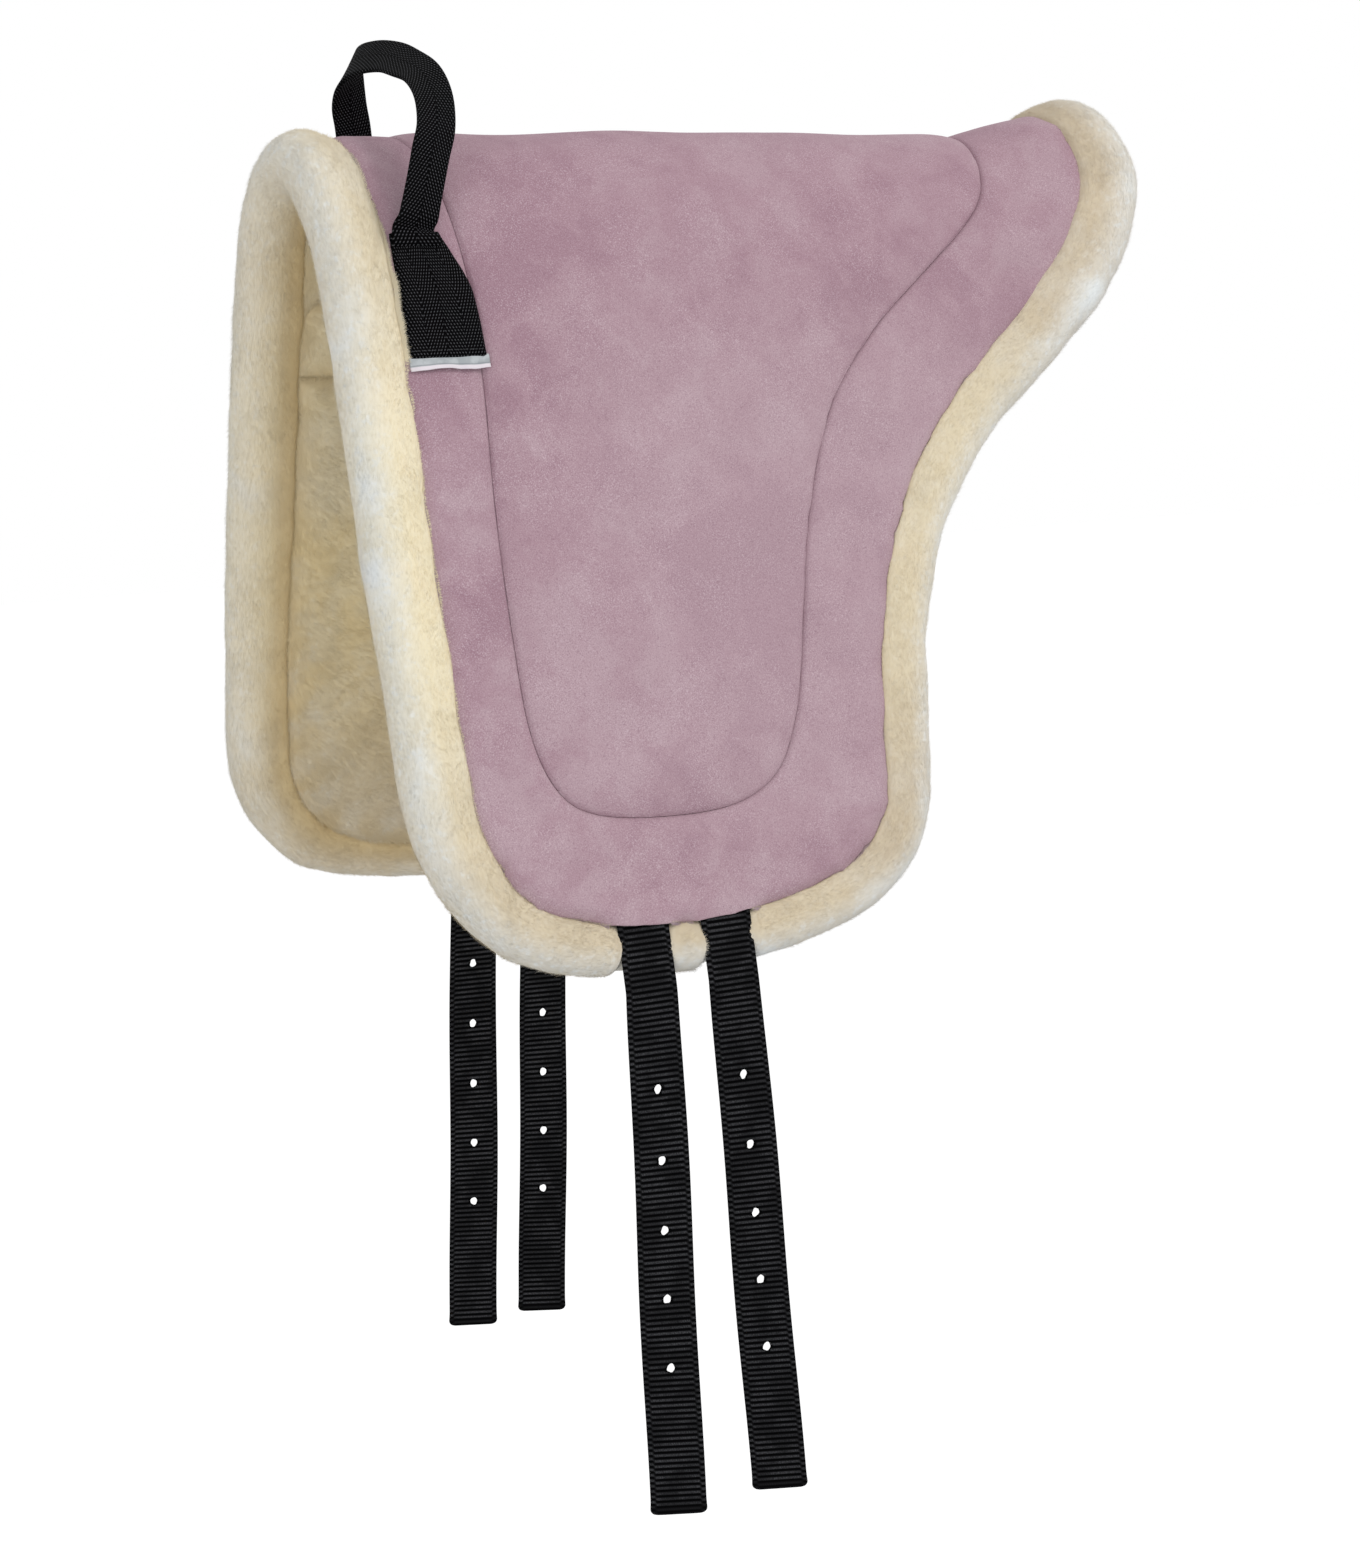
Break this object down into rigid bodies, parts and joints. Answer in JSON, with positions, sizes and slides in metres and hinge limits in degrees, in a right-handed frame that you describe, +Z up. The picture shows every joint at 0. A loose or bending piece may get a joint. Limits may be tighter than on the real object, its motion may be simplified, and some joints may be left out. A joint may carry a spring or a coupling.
{
  "type": "bareback pad",
  "caption": "Soft bareback riding pad with draped flaps, plush edge roll and lining, a webbing grab handle and punched girth straps that hang below.",
  "frame": {"origin": "on the underside of the lining, on the spine, above the horse's back", "axes": "+X towards the tail, +Y to the horse's right, +Z up"},
  "size_m": [0.6073, 0.3852, 0.9166],
  "materials": {
    "suede_seat": "mottled suede nap",
    "suede_border": "mottled suede nap",
    "plush_roll": "soft cream pile",
    "plush_lining": "soft cream pile",
    "foam_white": "soft foam filling",
    "webbing_ribbed": "ribbed black webbing",
    "webbing_twill": "black herringbone webbing",
    "label_grey": "smooth pale strip"
  },
  "bodies": {
    "pad": {"seat_cover": "suede_seat", "seat_foam": "foam_white", "border_cover": "suede_border", "border_foam": "foam_white", "lining_spine": "plush_lining", "lining_upper_left": "plush_lining", "lining_upper_right": "plush_lining", "lining_flap_left": "plush_lining", "lining_flap_right": "plush_lining", "edge_roll_front": "plush_roll", "edge_roll_rear": "plush_roll", "edge_roll_between_left": "plush_roll", "edge_roll_between_right": "plush_roll", "strap_root_front_left": "webbing_ribbed", "strap_root_rear_left": "webbing_ribbed", "strap_root_front_right": "webbing_ribbed", "strap_root_rear_right": "webbing_ribbed", "handle_anchor_left": "webbing_twill", "handle_anchor_right": "webbing_twill", "label_tab": "label_grey"},
    "handle": {"handle_grip": "webbing_twill"},
    "strap_front_left": {"girth_strap_front_left": "webbing_ribbed"},
    "strap_rear_left": {"girth_strap_rear_left": "webbing_ribbed"},
    "strap_front_right": {"girth_strap_front_right": "webbing_ribbed"},
    "strap_rear_right": {"girth_strap_rear_right": "webbing_ribbed"}
  },
  "joints": [
    {"name": "handle_hinge", "type": "hinge", "parent": "pad", "child": "handle", "pos_m": [-0.236, 0, -0.02528], "axis": [0, 1, 0], "range_deg": [-55, 35]},
    {"name": "strap_hinge_front_left", "type": "hinge", "parent": "pad", "child": "strap_front_left", "pos_m": [-0.143, -0.19143, -0.47487], "axis": [1, 0, 0], "range_deg": [-90, 28]},
    {"name": "strap_hinge_rear_left", "type": "hinge", "parent": "pad", "child": "strap_rear_left", "pos_m": [-0.086, -0.19143, -0.47487], "axis": [1, 0, 0], "range_deg": [-90, 28]},
    {"name": "strap_hinge_front_right", "type": "hinge", "parent": "pad", "child": "strap_front_right", "pos_m": [-0.082, 0.19143, -0.47487], "axis": [1, 0, 0], "range_deg": [-28, 90]},
    {"name": "strap_hinge_rear_right", "type": "hinge", "parent": "pad", "child": "strap_rear_right", "pos_m": [-0.025, 0.19143, -0.47487], "axis": [1, 0, 0], "range_deg": [-28, 90]}
  ]
}
